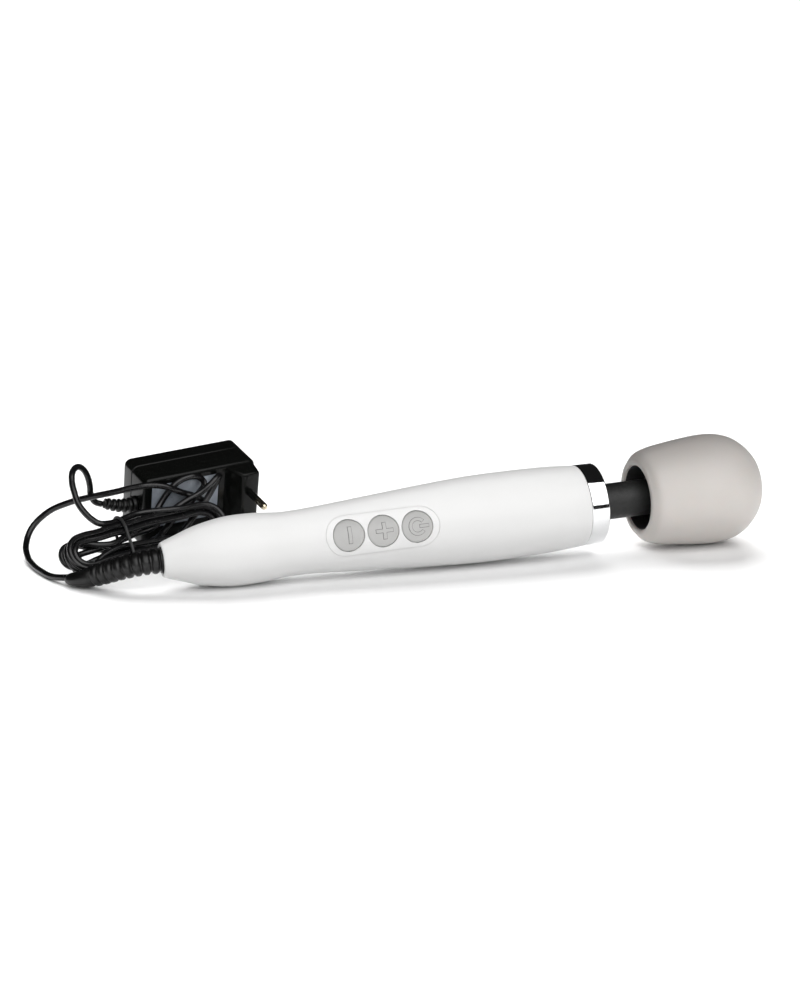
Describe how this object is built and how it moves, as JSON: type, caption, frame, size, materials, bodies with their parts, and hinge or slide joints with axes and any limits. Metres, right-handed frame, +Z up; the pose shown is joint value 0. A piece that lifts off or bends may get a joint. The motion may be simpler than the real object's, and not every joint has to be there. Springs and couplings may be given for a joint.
{
  "type": "handheld wand massager",
  "caption": "Mains-adapter wand massager: round soft head on a flexible neck, swelling white handle with key pad and chrome collar, ribbed tail cord and wall-plug adapter.",
  "frame": {"origin": "on the surface that the wand lies on, under the middle of the wand (cord and adapter not counted)", "axes": "+X along the wand towards its head, +Z up, -Y the side that the keys face"},
  "size_m": [0.3982, 0.1522, 0.0611],
  "materials": {
    "white_shell": "satin moulded, near-white",
    "button_grey": "soft-touch light grey",
    "head_skin": "soft satin taupe",
    "black_rubber": "matte black",
    "black_gloss": "moulded black, semi-gloss",
    "black_cord": "extruded black, semi-gloss",
    "inner_plastic": "moulded dark grey",
    "rating_label": "blank grey sticker",
    "circuit_board": "green solder mask",
    "copper": "enamelled winding",
    "chrome": "mirror chrome",
    "steel": "turned steel",
    "pin_metal": "plated brass"
  },
  "bodies": {
    "handle": {"handle_front_shell": "white_shell", "handle_back_shell": "white_shell", "button_panel": "white_shell", "neck_collar": "black_rubber", "wand_strain_relief": "black_rubber", "adapter_strain_relief": "black_rubber", "tail_gland": "black_rubber", "motor_mount_rear": "black_rubber", "motor_mount_front": "black_rubber", "adapter_front_case": "black_gloss", "adapter_back_case": "black_gloss", "pin_sleeve_upper": "black_gloss", "pin_sleeve_lower": "black_gloss", "adapter_capacitor": "black_gloss", "cord_from_wand": "black_cord", "cord_from_adapter": "black_cord", "cord_hank": "black_cord", "cord_upper_loops": "black_cord", "cord_tie": "black_cord", "neck_clamp_plate": "inner_plastic", "motor_end_cap": "inner_plastic", "minus_switch": "inner_plastic", "plus_switch": "inner_plastic", "power_switch": "inner_plastic", "rating_label": "rating_label", "control_board": "circuit_board", "adapter_board": "circuit_board", "adapter_transformer": "copper", "chrome_ring": "chrome", "motor_can": "steel", "shell_screw_rear": "steel", "shell_screw_front": "steel", "plug_pin_upper": "pin_metal", "plug_pin_lower": "pin_metal"},
    "minus_key": {"button_minus": "button_grey"},
    "plus_key": {"button_plus": "button_grey"},
    "power_key": {"button_power": "button_grey"},
    "rotor": {"motor_shaft": "steel", "motor_armature": "copper", "rear_coupling": "steel"},
    "neck": {"neck_sleeve": "black_rubber", "drive_spring": "steel"},
    "head": {"head_cover": "head_skin", "head_core_front": "inner_plastic", "head_core_back": "inner_plastic", "bearing_rear": "steel", "bearing_front": "steel"},
    "eccentric": {"eccentric_shaft": "steel", "eccentric_weight": "steel", "front_coupling": "steel"}
  },
  "joints": [
    {"name": "press_minus", "type": "slide", "parent": "handle", "child": "minus_key", "axis": [0.0129, 0.9588, -0.2837], "range_m": [0, 0.0008], "stiffness_N_per_m": 2500},
    {"name": "press_plus", "type": "slide", "parent": "handle", "child": "plus_key", "axis": [0.0129, 0.9588, -0.2837], "range_m": [0, 0.0008], "stiffness_N_per_m": 2500},
    {"name": "press_power", "type": "slide", "parent": "handle", "child": "power_key", "axis": [0.0129, 0.9588, -0.2837], "range_m": [0, 0.0008], "stiffness_N_per_m": 2500},
    {"name": "rotor_spin", "type": "hinge", "parent": "handle", "child": "rotor", "pos_m": [0.01501, 0, 0.02499], "axis": [0.999, 0, 0.0454], "continuous": true},
    {"name": "neck_nod", "type": "hinge", "parent": "handle", "child": "neck", "pos_m": [0.08294, 0, 0.02808], "axis": [0, 1, 0], "range_deg": [-12, 12], "stiffness_Nm_per_rad": 3, "deforming": ["neck_sleeve", "drive_spring"]},
    {"name": "neck_sway", "type": "hinge", "parent": "neck", "child": "head", "pos_m": [0.09393, 0, 0.02858], "axis": [-0.0454, 0, 0.999], "range_deg": [-12, 12], "stiffness_Nm_per_rad": 3, "deforming": ["neck_sleeve", "drive_spring"]},
    {"name": "eccentric_spin", "type": "hinge", "parent": "head", "child": "eccentric", "pos_m": [0.12989, 0, 0.03021], "axis": [0.999, 0, 0.0454], "continuous": true}
  ],
  "couplings": [
    {"joint": "eccentric_spin", "follows": "rotor_spin", "ratio": 1}
  ]
}
